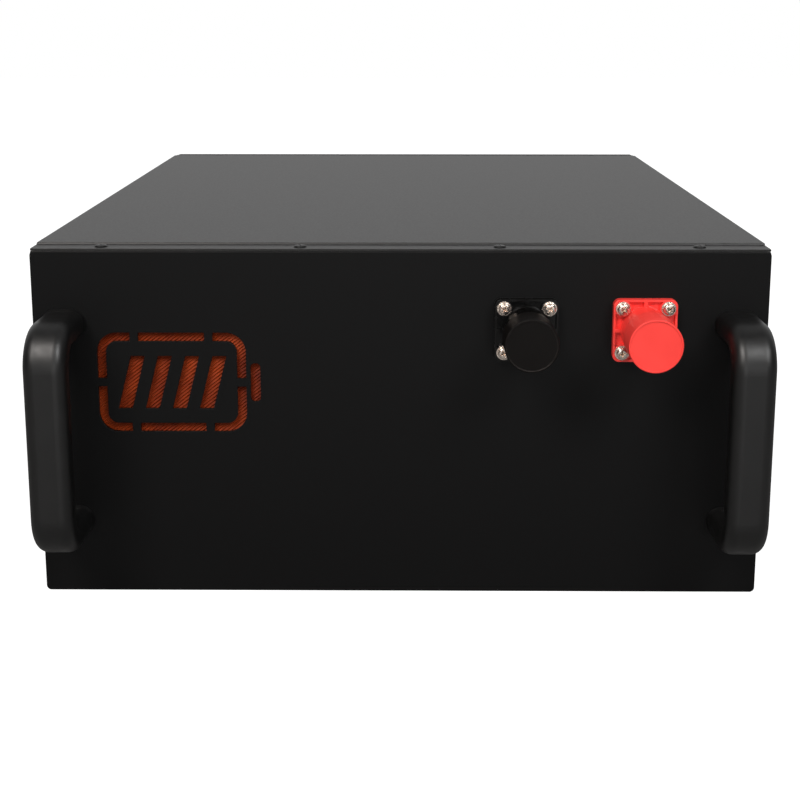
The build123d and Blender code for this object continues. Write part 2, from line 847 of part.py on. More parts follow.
with BuildPart() as m4_nuts:
    for y, places in ((tub_front + shell_sheet, front_fixings), (tub_front, base_screw_places)):
        with BuildSketch(facing_front(y)):
            with Locations(*places):
                RegularPolygon(m4_nut_flats / 2, 6, major_radius=False)
                Circle(m4 / 2, mode=Mode.SUBTRACT)
        extrude(amount=-m4_nut_height)
m4_nuts.part.label = "m4_nuts"
export_step(m4_nuts.part, "parts/m4_nuts.step")


# ---------------------------------------------------------------- cells
def cell_row(side):
    """One row of prismatic cells with rounded edges and a pressed vent in each lid."""
    x = cell_rows[side]
    with BuildPart() as row:
        with BuildSketch(Plane.XY.offset(cell_base)):
            with Locations(*[(x, y) for y in cell_ys]):
                RectangleRounded(cell_width, cell_thickness, cell_radius)
        extrude(amount=cell_height)
        chamfer(row.faces().group_by(Axis.Z)[-1].edges(), can_chamfer)
        with BuildSketch(Plane.XY.offset(cell_top)):
            with Locations(*[(x, y) for y in cell_ys]):
                SlotOverall(vent_length, vent_width)
        extrude(amount=-vent_depth, mode=Mode.SUBTRACT)
    return row


left_cells = cell_row(-1)
left_cells.part.label = "left_cells"
export_step(left_cells.part, "parts/left_cells.step")

right_cells = cell_row(1)
right_cells.part.label = "right_cells"
export_step(right_cells.part, "parts/right_cells.step")

post_places = [
    (x + shift, y) for x in cell_rows.values() for shift in (-post_offset, post_offset) for y in cell_ys
]
with BuildPart() as cell_posts:
    with BuildSketch(Plane.XY.offset(cell_top)):
        with Locations(*post_places):
            Circle(post_diameter / 2)
    extrude(amount=post_height)
    with BuildSketch(Plane.XY.offset(busbar_base)):
        with Locations(*post_places):
            Circle(m6 / 2 - thread_gap)
    extrude(amount=busbar_thickness + m6_nut_height)
cell_posts.part.label = "cell_posts"
export_step(cell_posts.part, "parts/cell_posts.step")

with BuildPart() as cell_spacers:
    with BuildSketch(Plane.XY.offset(cell_base)):
        for y in cell_ys[:-1]:
            with Locations(*[(x, y + cell_pitch / 2) for x in cell_rows.values()]):
                Rectangle(cell_width - 2 * cell_radius, cell_gap)
    extrude(amount=cell_height - spacer_drop)
cell_spacers.part.label = "cell_spacers"
export_step(cell_spacers.part, "parts/cell_spacers.step")

with BuildPart() as end_plates:
    with BuildSketch(Plane.XY.offset(cell_base)):
        for y in (block_front + end_plate / 2, block_rear - end_plate / 2):
            with Locations(*[(x, y) for x in cell_rows.values()]):
                Rectangle(cell_width, end_plate)
    extrude(amount=end_plate_height)
end_plates.part.label = "end_plates"
export_step(end_plates.part, "parts/end_plates.step")

block_length = block_rear - block_front
block_middle = (block_rear + block_front) / 2
with BuildPart() as cell_straps:
    for level in strap_levels:
        with BuildSketch(Plane.XY.offset(cell_base + level)):
            with Locations(*[(x, block_middle) for x in cell_rows.values()]):
                Rectangle(cell_width + 2 * strap_thickness, block_length + 2 * strap_thickness)
                Rectangle(cell_width, block_length, mode=Mode.SUBTRACT)
        extrude(amount=strap_width)
cell_straps.part.label = "cell_straps"
export_step(cell_straps.part, "parts/cell_straps.step")

with BuildPart() as cell_stop:
    stop_y = block_front - strap_thickness
    with BuildSketch(Plane.YZ.offset(-cell_width)):
        with BuildLine():
            Polyline(
                (stop_y, shell_sheet),
                (stop_y, shell_sheet + flange),
                (stop_y - shell_sheet, shell_sheet + flange),
                (stop_y - shell_sheet, 2 * shell_sheet),
                (stop_y - flange / 2, 2 * shell_sheet),
                (stop_y - flange / 2, shell_sheet),
                close=True,
            )
        make_face()
    extrude(amount=2 * cell_width)
cell_stop.part.label = "cell_stop"
export_step(cell_stop.part, "parts/cell_stop.step")

strapped = strap_thickness + foam_gap
block_side = cell_rows[1] + cell_width / 2 + strapped
side_foam_width = inside_x - block_side - foam_gap
with BuildPart() as cell_foam:
    with BuildSketch(Plane.XY.offset(cell_base)):
        with Locations((0, block_middle)):
            Rectangle(row_gap - 2 * strapped, block_length - 2 * end_plate)
            with GridLocations(2 * block_side + side_foam_width, block_length / 2, 2, 2):
                Rectangle(side_foam_width, block_length / 3)
    extrude(amount=end_plate_height)
cell_foam.part.label = "cell_foam"
export_step(cell_foam.part, "parts/cell_foam.step")

with BuildPart() as insulators:
    with BuildSketch(Plane.XY.offset(shell_sheet)):
        with Locations((0, block_middle)):
            Rectangle(2 * (inside_x - corner_radius), block_length + 2 * strap_thickness)
    extrude(amount=base_insulator_thickness)
    # The upper sheet stops short of the nuts that hang from the rear rail
    upper_rear = tub_rear - notch - gap
    with BuildSketch(Plane.XY.offset(nut_top)):
        with Locations((0, (block_front + upper_rear) / 2)):
            Rectangle(2 * (cell_width + row_gap), upper_rear - block_front)
    extrude(amount=top_insulator_thickness)
insulators.part.label = "insulators"
export_step(insulators.part, "parts/insulators.step")

with BuildPart() as lid_foam:
    with BuildSketch(Plane.XY.offset(nut_top + top_insulator_thickness)):
        with Locations((0, block_middle)):
            with GridLocations(2 * cell_rows[1], 0, 2, 1):
                Rectangle(post_offset, block_length - 2 * cell_thickness)
    extrude(amount=tub_top - nut_top - top_insulator_thickness)
lid_foam.part.label = "lid_foam"
export_step(lid_foam.part, "parts/lid_foam.step")

# Links alternate between the outer and inner posts, so that each row runs in series front to rear
bar_places = []
for index in range(cells_per_row - 1):
    post_x = outer_post if index % 2 == 0 else inner_post
    bar_y = (cell_ys[index] + cell_ys[index + 1]) / 2
    bar_places += [(-post_x, bar_y), (post_x, bar_y)]
with BuildPart() as series_busbars:
    with BuildSketch(Plane.XY.offset(busbar_base)):
        with Locations(*bar_places):
            RectangleRounded(busbar_width, cell_pitch + busbar_width, busbar_radius)
        with Locations(*post_places):
            Circle(m6 / 2 + screw_clearance, mode=Mode.SUBTRACT)
    extrude(amount=busbar_thickness)
series_busbars.part.label = "series_busbars"
export_step(series_busbars.part, "parts/series_busbars.step")

with BuildPart() as cross_busbar:
    with BuildSketch(Plane.XY.offset(busbar_base)):
        with Locations((0, cell_ys[-1])):
            RectangleRounded(2 * inner_post + busbar_width, busbar_width, busbar_radius)
            with GridLocations(2 * inner_post, 0, 2, 1):
                Circle(m6 / 2 + screw_clearance, mode=Mode.SUBTRACT)
    extrude(amount=busbar_thickness)
cross_busbar.part.label = "cross_busbar"
export_step(cross_busbar.part, "parts/cross_busbar.step")

link_face = block_front - link_bar_front_gap - busbar_thickness


def link_bar(x, drop):
    """Copper bar from a row's front post, bent down in front of the cells to a stud for a cable lug."""
    foot = busbar_base - drop - tab_width / 2
    with BuildPart() as bar:
        with BuildSketch(Plane.YZ.offset(x - busbar_width / 2)):
            with BuildLine():
                Polyline(
                    (cell_ys[0] + busbar_width / 2, busbar_top),
                    (link_face, busbar_top),
                    (link_face, foot),
                    (link_face + busbar_thickness, foot),
                    (link_face + busbar_thickness, busbar_base),
                    (cell_ys[0] + busbar_width / 2, busbar_base),
                    close=True,
                )
            make_face()
        extrude(amount=busbar_width)
        fillet(bar.edges().filter_by(Axis.X).group_by(Axis.Y)[0].sort_by(Axis.Z)[-1], busbar_thickness)
        with BuildSketch(Plane.XY.offset(busbar_base)):
            with Locations((x, cell_ys[0])):
                Circle(m6 / 2 + screw_clearance)
        extrude(amount=busbar_thickness, mode=Mode.SUBTRACT)
    return bar


positive_link_bar = link_bar(inner_post, positive_link_drop)
positive_link_bar.part.label = "positive_link_bar"
export_step(positive_link_bar.part, "parts/positive_link_bar.step")

negative_link_bar = link_bar(-inner_post, negative_link_drop)
negative_link_bar.part.label = "negative_link_bar"
export_step(negative_link_bar.part, "parts/negative_link_bar.step")

busbar_nuts = nuts(
    Plane.XY.offset(busbar_top), post_places, m6_nut_flats, m6_nut_height, m6 + 2 * thread_gap
)
busbar_nuts.part.label = "busbar_nuts"
export_step(busbar_nuts.part, "parts/busbar_nuts.step")

# ---------------------------------------------------------------- management unit
bms_rear = block_front - bms_bracket_rear
heatsink_rear = bms_rear - shell_sheet
board_rear = heatsink_rear - heatsink_thickness - board_stand_off
bms_x = bms_left + bms_width / 2
bms_z = bms_base + bms_height / 2
bms_fixings = [
    (
        bms_x + i * (bms_width / 2 - bms_screw_inset),
        bms_z + j * (bms_height / 2 - bms_screw_inset),
    )
    for i in (-1, 1)
    for j in (-1, 1)
]

with BuildPart() as bms_bracket:
    with BuildSketch(Plane.YZ.offset(bms_left)):
        with BuildLine():
            Polyline(
                (bms_rear, shell_sheet),
                (bms_rear, bms_base + bms_height),
                (bms_rear - shell_sheet, bms_base + bms_height),
                (bms_rear - shell_sheet, 2 * shell_sheet),
                (bms_rear - bms_bracket_foot, 2 * shell_sheet),
                (bms_rear - bms_bracket_foot, shell_sheet),
                close=True,
            )
        make_face()
    extrude(amount=bms_width)
    with BuildSketch(facing_front(bms_rear)):
        with Locations(*bms_fixings):
            Circle(m4 / 2)
    extrude(amount=shell_sheet, mode=Mode.SUBTRACT)
bms_bracket.part.label = "bms_bracket"
export_step(bms_bracket.part, "parts/bms_bracket.step")

with BuildPart() as bms_heatsink:
    with BuildSketch(facing_front(heatsink_rear)):
        with Locations((bms_x, bms_z)):
            Rectangle(bms_width, bms_height)
    extrude(amount=heatsink_thickness)
    fin_step = (bms_width - 2 * heatsink_edge) / (fin_count - 1)
    with BuildSketch(facing_front(heatsink_rear - heatsink_thickness)):
        with Locations((bms_x, bms_z)):
            with GridLocations(fin_step, 0, fin_count, 1):
                Rectangle(fin_step / 2, bms_height)
    extrude(amount=-heatsink_thickness / 2, mode=Mode.SUBTRACT)
    with BuildSketch(facing_front(heatsink_rear)):
        with Locations(*bms_fixings):
            Circle(m4_hole)
    extrude(amount=heatsink_thickness, mode=Mode.SUBTRACT)
bms_heatsink.part.label = "bms_heatsink"
export_step(bms_heatsink.part, "parts/bms_heatsink.step")

with BuildPart() as bms_board:
    with BuildSketch(facing_front(board_rear)):
        with Locations((bms_x, bms_z)):
            Rectangle(
                bms_width - 2 * (cover_wall + board_gap), bms_height - 2 * (cover_wall + board_gap)
            )
        with Locations(*bms_fixings):
            Circle(m4_hole + board_notch, mode=Mode.SUBTRACT)
    extrude(amount=board_thickness)
bms_board.part.label = "bms_board"
export_step(bms_board.part, "parts/bms_board.step")

cover_rear = heatsink_rear - heatsink_thickness
tab_face = board_rear - board_thickness - tab_thickness
with BuildPart() as bms_cover:
    with BuildSketch(facing_front(cover_rear)):
        with Locations((bms_x, bms_z)):
            RectangleRounded(bms_width, bms_height, cover_radius)
    extrude(amount=cover_depth)
    chamfer(bms_cover.faces().sort_by(Axis.Y)[0].edges(), cover_chamfer)
    with BuildSketch(facing_front(cover_rear)):
        with Locations((bms_x, bms_z)):
            Rectangle(bms_width - 2 * cover_wall, bms_height - 2 * cover_wall)
    extrude(amount=cover_depth - cover_wall, mode=Mode.SUBTRACT)
    # Corner posts take the screws
    with BuildSketch(facing_front(cover_rear)):
        with Locations(*bms_fixings):
            Circle(m4_hole + post_wall)
    extrude(amount=cover_depth - cover_wall / 2)
    with BuildSketch(facing_front(cover_rear)):
        with Locations(*bms_fixings):
            Circle(m4_hole)
    extrude(amount=cover_depth, mode=Mode.SUBTRACT)
    # Slots let the two power tabs out
    with BuildSketch(facing_front(tab_face + tab_thickness + gap)):
        with Locations((battery_tab_x, bms_base + bms_height - cover_wall / 2)):
            Rectangle(tab_width + 2 * gap, 2 * cover_wall)
        with Locations((bms_left + bms_width - cover_wall / 2, bms_base + output_tab_height)):
            Rectangle(2 * cover_wall, tab_width + 2 * gap)
    extrude(amount=tab_thickness + 2 * gap, mode=Mode.SUBTRACT)
bms_cover.part.label = "bms_cover"
export_step(bms_cover.part, "parts/bms_cover.step")

bms_screws = screws(
    facing_front(cover_rear - cover_depth),
    bms_fixings,
    m4,
    cover_depth + heatsink_thickness + bms_screw_end,
    bms_screw_head,
    bms_screw_head_height,
)
bms_screws.part.label = "bms_screws"
export_step(bms_screws.part, "parts/bms_screws.step")

battery_lug_z = bms_base + bms_height + tab_reach - tab_width / 2 - lug_tab_edge
output_lug_x = bms_left + bms_width + tab_reach - tab_width / 2 - lug_tab_edge
output_lug_z = bms_base + output_tab_height
with BuildPart() as bms_tabs:
    with BuildSketch(facing_front(tab_face + tab_thickness)):
        with Locations((battery_tab_x, battery_lug_z - tab_reach / 2)):
            Rectangle(tab_width, tab_reach + tab_width)
        with Locations((output_lug_x - tab_reach / 2, output_lug_z)):
            Rectangle(tab_reach + tab_width, tab_width)
    extrude(amount=tab_thickness)
bms_tabs.part.label = "bms_tabs"
export_step(bms_tabs.part, "parts/bms_tabs.step")

# ---------------------------------------------------------------- power cables and their lugs
barrel_diameter = cable_diameter + 2 * barrel_wall
barrel_offset = barrel_diameter / 2
down, up, left, right = (0, 0, -1), (0, 0, 1), (-1, 0, 0), (1, 0, 0)
to_front, to_rear = (0, -1, 0), (0, 1, 0)
positive_link_z = busbar_base - positive_link_drop
negative_link_z = busbar_base - negative_link_drop
terminal_lug_names = ("negative_terminal", "positive_terminal")
link_lug_names = ("positive_link", "negative_link", "battery_tab", "output_tab")
lug_planes = {
    "negative_terminal": Plane((negative_x, lug_seat, terminal_z), down, to_rear),
    "positive_terminal": Plane((positive_x, lug_seat, terminal_z), down, to_rear),
    "positive_link": Plane((inner_post, link_face, positive_link_z), down, to_front),
    "negative_link": Plane((-inner_post, link_face, negative_link_z), left, to_front),
    "battery_tab": Plane((battery_tab_x, tab_face, battery_lug_z), up, to_front),
    "output_tab": Plane((output_lug_x, tab_face, output_lug_z), right, to_front),
}

with BuildPart() as cable_lugs:
    for name, plane in lug_planes.items():
        thread = m10 if name in terminal_lug_names else m8
        with BuildSketch(plane):
            Circle(tongue_diameter / 2)
            with Locations((tongue_root / 2, 0)):
                Rectangle(tongue_root, barrel_diameter - barrel_wall)
            Circle(thread / 2 + screw_clearance, mode=Mode.SUBTRACT)
        extrude(amount=tongue_thickness)
        barrel_plane = Plane(
            plane.from_local_coords((lug_start, 0, barrel_offset)), plane.y_dir, plane.x_dir
        )
        with BuildSketch(barrel_plane):
            Circle(barrel_diameter / 2)
        extrude(amount=barrel_length)
        with BuildSketch(barrel_plane.offset(cable_inset)):
            Circle(cable_diameter / 2 + thread_gap)
        extrude(amount=barrel_length - cable_inset, mode=Mode.SUBTRACT)
cable_lugs.part.label = "cable_lugs"
export_step(cable_lugs.part, "parts/cable_lugs.step")


def cable_start(name):
    """Point at the bottom of a lug's barrel, where its cable begins."""
    return lug_planes[name].from_local_coords((lug_start + cable_inset, 0, barrel_offset))


def power_cable(points, radii):
    """Round cable along straight runs joined by tangent arcs."""
    with BuildPart() as cable:
        with BuildLine() as path:
            FilletPolyline(*points, radius=radii)
        with BuildSketch(Plane(origin=path.line @ 0, z_dir=path.line % 0)):
            Circle(cable_diameter / 2)
        sweep()
    length = path.wires()[0].length
    share = cable.part.volume / (length * pi * cable_diameter**2 / 4)
    print(f"cable {length:.1f} mm, radii {radii}, volume over section times length {share:.4f}")
    return cable


terminal_cable_y = cable_start("positive_terminal").Y
link_cable_y = cable_start("positive_link").Y
tab_cable_y = cable_start("battery_tab").Y
positive_loop_z = output_lug_z + positive_loop_rise
positive_cable = power_cable(
    [
        cable_start("positive_terminal"),
        (positive_x, terminal_cable_y, positive_loop_z),
        (inner_post, link_cable_y, positive_loop_z),
        cable_start("positive_link"),
    ],
    [42, 42],
)
positive_cable.part.label = "positive_cable"
export_step(positive_cable.part, "parts/positive_cable.step")

output_negative_cable = power_cable(
    [
        cable_start("negative_terminal"),
        (negative_x, terminal_cable_y, terminal_z - output_cable_drop),
        (negative_x, tab_cable_y, output_lug_z),
        cable_start("output_tab"),
    ],
    [60, 44],
)
output_negative_cable.part.label = "output_negative_cable"
export_step(output_negative_cable.part, "parts/output_negative_cable.step")

battery_negative_cable = power_cable(
    [
        cable_start("negative_link"),
        (-inner_post - battery_cable_lead, link_cable_y, negative_link_z),
        (battery_tab_x, tab_cable_y, negative_link_z),
        cable_start("battery_tab"),
    ],
    [35, 27],
)
battery_negative_cable.part.label = "battery_negative_cable"
export_step(battery_negative_cable.part, "parts/battery_negative_cable.step")

# Studs pressed into the two link bars and the two tabs
with BuildPart() as lug_studs:
    for name in link_lug_names:
        with BuildSketch(lug_planes[name]):
            Circle(m8 / 2)
        extrude(amount=tongue_thickness + washer_thickness + m8_nut_height)
lug_studs.part.label = "lug_studs"
export_step(lug_studs.part, "parts/lug_studs.step")

# A washer and a nut on every lug
lug_sets = [(lug_planes[name], m10, m10_washer) for name in terminal_lug_names]
lug_sets += [(lug_planes[name], m8, m8_washer) for name in link_lug_names]
with BuildPart() as lug_washers:
    for plane, thread, outside in lug_sets:
        with BuildSketch(plane.offset(tongue_thickness)):
            Circle(outside / 2)
            Circle(thread / 2 + screw_clearance, mode=Mode.SUBTRACT)
        extrude(amount=washer_thickness)
lug_washers.part.label = "lug_washers"
export_step(lug_washers.part, "parts/lug_washers.step")

lug_nut_sets = [(lug_planes[name], m10, m10_nut_flats, m10_nut_height) for name in terminal_lug_names]
lug_nut_sets += [(lug_planes[name], m8, m8_nut_flats, m8_nut_height) for name in link_lug_names]
with BuildPart() as lug_nuts:
    for plane, thread, flats, thickness in lug_nut_sets:
        with BuildSketch(plane.offset(tongue_thickness + washer_thickness)):
            RegularPolygon(flats / 2, 6, major_radius=False)
            Circle(thread / 2 + thread_gap, mode=Mode.SUBTRACT)
        extrude(amount=thickness)
lug_nuts.part.label = "lug_nuts"
export_step(lug_nuts.part, "parts/lug_nuts.step")

# ---------------------------------------------------------------- cell sensing
plug_x = bms_left + plug_inset
plug_top = bms_base + bms_height + plug_height
loom_z = nut_top - loom_diameter / 2 - gap
wire_z = busbar_top + wire_rise
with BuildPart() as sense_plug:
    with BuildSketch(Plane.XY.offset(bms_base + bms_height)):
        with Locations((plug_x, tab_cable_y)):
            RectangleRounded(plug_width, plug_depth, plug_radius)
    extrude(amount=plug_height)
sense_plug.part.label = "sense_plug"
export_step(sense_plug.part, "parts/sense_plug.step")

with BuildPart() as sense_loom:
    with BuildLine() as loom_path:
        FilletPolyline(
            (plug_x, tab_cable_y, plug_top),
            (plug_x, tab_cable_y, loom_z),
            (0, tab_cable_y, loom_z),
            (0, cell_ys[-1] - cell_pitch / 2, loom_z),
            radius=loom_bend,
        )
    with BuildSketch(Plane(origin=loom_path.line @ 0, z_dir=loom_path.line % 0)):
        Circle(loom_diameter / 2)
    sweep()
sense_loom.part.label = "sense_loom"
export_step(sense_loom.part, "parts/sense_loom.step")

with BuildPart() as sense_leads:
    for x, y in bar_places:
        side = 1 if x > 0 else -1
        with BuildSketch(Plane((side * loom_diameter / 2, y, wire_z), z_dir=(side, 0, 0))):
            Circle(wire_diameter / 2)
        extrude(amount=abs(x) - loom_diameter / 2)
        with BuildSketch(Plane.XY.offset(busbar_top)):
            with Locations((x, y)):
                Rectangle(lead_tab, lead_tab)
        extrude(amount=lead_tab_height)
sense_leads.part.label = "sense_leads"
export_step(sense_leads.part, "parts/sense_leads.step")
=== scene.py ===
"""Looks of the battery pack: camera, soft studio light, procedural finishes and the finer hardware.

Metres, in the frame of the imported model: +Z up, and the front panel faces -Y.
"""

import json
import math

import bpy
from mathutils import Matrix, Vector


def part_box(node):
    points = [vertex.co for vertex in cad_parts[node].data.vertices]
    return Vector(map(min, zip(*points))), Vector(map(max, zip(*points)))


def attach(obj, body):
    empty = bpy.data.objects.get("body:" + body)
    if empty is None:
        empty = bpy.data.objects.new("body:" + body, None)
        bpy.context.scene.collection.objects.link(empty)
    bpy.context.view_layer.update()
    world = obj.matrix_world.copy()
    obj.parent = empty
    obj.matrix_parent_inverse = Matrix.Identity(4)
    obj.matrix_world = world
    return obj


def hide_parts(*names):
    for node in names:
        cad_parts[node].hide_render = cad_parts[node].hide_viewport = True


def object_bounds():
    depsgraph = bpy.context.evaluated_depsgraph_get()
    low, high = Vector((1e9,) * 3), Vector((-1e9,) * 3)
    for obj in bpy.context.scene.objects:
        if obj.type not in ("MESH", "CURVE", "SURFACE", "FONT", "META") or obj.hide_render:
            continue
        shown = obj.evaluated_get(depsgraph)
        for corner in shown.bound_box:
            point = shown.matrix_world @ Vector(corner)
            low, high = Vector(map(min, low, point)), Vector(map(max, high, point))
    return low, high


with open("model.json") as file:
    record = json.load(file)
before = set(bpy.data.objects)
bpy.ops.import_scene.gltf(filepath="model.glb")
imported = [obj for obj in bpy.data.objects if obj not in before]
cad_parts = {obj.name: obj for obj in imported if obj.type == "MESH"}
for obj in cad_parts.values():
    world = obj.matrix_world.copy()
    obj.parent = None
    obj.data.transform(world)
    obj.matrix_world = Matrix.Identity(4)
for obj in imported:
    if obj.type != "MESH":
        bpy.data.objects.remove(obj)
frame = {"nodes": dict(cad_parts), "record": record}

cad_lo, cad_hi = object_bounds()
panel_lo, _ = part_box("front_panel")
scene = bpy.context.scene
MM = 0.001
FULL_TURN = 2 * math.pi


# ---------------------------------------------------------------- camera
FOCAL_LENGTH = 62.8
SENSOR_WIDTH = 36.0
LENS_SHIFT = -0.14
NEAREST_SEEN = 0.05
CAMERA_SIDE = 7.1 * MM
CAMERA_BACK = 817.1 * MM
CAMERA_HEIGHT = 358.4 * MM
CAMERA_PITCH = math.radians(11.43)
CAMERA_YAW = math.radians(0.487)

lens = bpy.data.cameras.new("camera")
lens.lens = FOCAL_LENGTH
lens.sensor_width = SENSOR_WIDTH
lens.shift_y = LENS_SHIFT
lens.clip_start = NEAREST_SEEN
camera = bpy.data.objects.new("camera", lens)
camera.location = (CAMERA_SIDE, panel_lo.y - CAMERA_BACK, panel_lo.z + CAMERA_HEIGHT)
camera.rotation_euler = (math.pi / 2 - CAMERA_PITCH, 0, CAMERA_YAW)
scene.collection.objects.link(camera)
scene.camera = camera

scene.view_settings.view_transform = "Standard"


# ---------------------------------------------------------------- studio
WHITE = (1.0, 1.0, 1.0)
BARELY_WARM = (1.0, 0.95, 0.91)
LAMP_AIM = Vector((0.0, -0.27, 0.12))      # about the middle of the front panel

# How bright the surroundings are, from straight in front of the panel (0) to straight behind the pack (1)
SKY_STOPS = ((0.0, 0.34), (0.12, 0.16), (0.35, 0.03), (0.55, 0.05), (0.95, 0.90))

FLOOR_REACH = 6.0
FLOOR_DROP = 0.1 * MM
FLOOR_GREY = 0.25
FLOOR_GLOW = 0.965


def softbox(name, place, size, power, tint=WHITE):
    """Elliptical area light at a place, turned towards the front panel."""
    lamp = bpy.data.lights.new(name, "AREA")
    lamp.shape = "ELLIPSE"
    lamp.size, lamp.size_y = size
    lamp.energy = power
    lamp.color = tint
    holder = bpy.data.objects.new(name, lamp)
    holder.location = place
    holder.rotation_euler = (LAMP_AIM - Vector(place)).to_track_quat("-Z", "Y").to_euler()
    scene.collection.objects.link(holder)


def studio_world():
    """White to the camera; to the object, bright behind, dim in front and dark at the sides."""
    world = bpy.data.worlds.new("studio")
    scene.world = world
    world.use_nodes = True
    tree = world.node_tree
    tree.nodes.clear()
    direction = tree.nodes.new("ShaderNodeTexCoord")
    parts = tree.nodes.new("ShaderNodeSeparateXYZ")
    span = tree.nodes.new("ShaderNodeMapRange")
    span.inputs["From Min"].default_value = -1.0
    span.inputs["From Max"].default_value = 1.0
    ramp = tree.nodes.new("ShaderNodeValToRGB")
    stops = ramp.color_ramp.elements
    for place, _ in SKY_STOPS[1:-1]:
        stops.new(place)
    for stop, (place, level) in zip(stops, SKY_STOPS):
        stop.position = place
        stop.color = (level, level, level, 1)
    around = tree.nodes.new("ShaderNodeBackground")
    seen = tree.nodes.new("ShaderNodeBackground")
    seen.inputs["Color"].default_value = (*WHITE, 1)
    for background in (around, seen):
        background.inputs["Strength"].default_value = 1.0
    path = tree.nodes.new("ShaderNodeLightPath")
    mix = tree.nodes.new("ShaderNodeMixShader")
    out = tree.nodes.new("ShaderNodeOutputWorld")
    tree.links.new(direction.outputs["Generated"], parts.inputs[0])
    tree.links.new(parts.outputs["Y"], span.inputs["Value"])
    tree.links.new(span.outputs["Result"], ramp.inputs["Fac"])
    tree.links.new(ramp.outputs["Color"], around.inputs["Color"])
    tree.links.new(path.outputs["Is Camera Ray"], mix.inputs[0])
    tree.links.new(around.outputs[0], mix.inputs[1])
    tree.links.new(seen.outputs[0], mix.inputs[2])
    tree.links.new(mix.outputs[0], out.inputs["Surface"])


def floor_finish():
    """Grey to every other ray, but close to white where the camera sees it."""
    material = bpy.data.materials.new("floor")
    material.use_nodes = True
    tree = material.node_tree
    tree.nodes.clear()
    diffuse = tree.nodes.new("ShaderNodeBsdfDiffuse")
    diffuse.inputs["Color"].default_value = (FLOOR_GREY, FLOOR_GREY, FLOOR_GREY, 1)
    glow = tree.nodes.new("ShaderNodeEmission")
    lift = tree.nodes.new("ShaderNodeMath")
    lift.operation = "MULTIPLY"
    lift.inputs[1].default_value = FLOOR_GLOW
    path = tree.nodes.new("ShaderNodeLightPath")
    both = tree.nodes.new("ShaderNodeAddShader")
    out = tree.nodes.new("ShaderNodeOutputMaterial")
    tree.links.new(path.outputs["Is Camera Ray"], lift.inputs[0])
    tree.links.new(lift.outputs[0], glow.inputs["Strength"])
    tree.links.new(diffuse.outputs[0], both.inputs[0])
    tree.links.new(glow.outputs[0], both.inputs[1])
    tree.links.new(both.outputs[0], out.inputs["Surface"])
    return material


def studio_floor():
    """Wide floor just under the pack's foot."""
    mesh = bpy.data.meshes.new("floor")
    corners = [(x * FLOOR_REACH, y * FLOOR_REACH, 0) for x, y in ((-1, -1), (1, -1), (1, 1), (-1, 1))]
    mesh.from_pydata(corners, [], [(0, 1, 2, 3)])
    mesh.materials.append(floor_finish())
    floor = bpy.data.objects.new("floor", mesh)
    floor.location.z = cad_lo.z - FLOOR_DROP
    scene.collection.objects.link(floor)


softbox("key", place=(-1.35, -2.35, 2.45), size=(1.3, 1.4), power=84.0, tint=BARELY_WARM)
softbox("fill", place=(1.60, -2.25, 2.30), size=(1.2, 1.3), power=60.0)
softbox("front", place=(0.15, -3.2, 0.15), size=(1.6, 1.0), power=14.0)
studio_world()
studio_floor()


# ---------------------------------------------------------------- finishes
NOISE_ROUGHNESS = 0.55
BEVEL_SAMPLES = 4
MIX_COLOUR_IN = (6, 7)                    # a mix node's colour sockets among all of its own
MIX_COLOUR_OUT = 2
EDGE_STARTS, EDGE_ENDS = 0.75, 0.98       # how far the rounded normal agrees with the face's own
PATCH_PER_METRE = 250.0
PATCH_LEAST = 0.25
WORN_PAINT = (0.03, 0.03, 0.03)


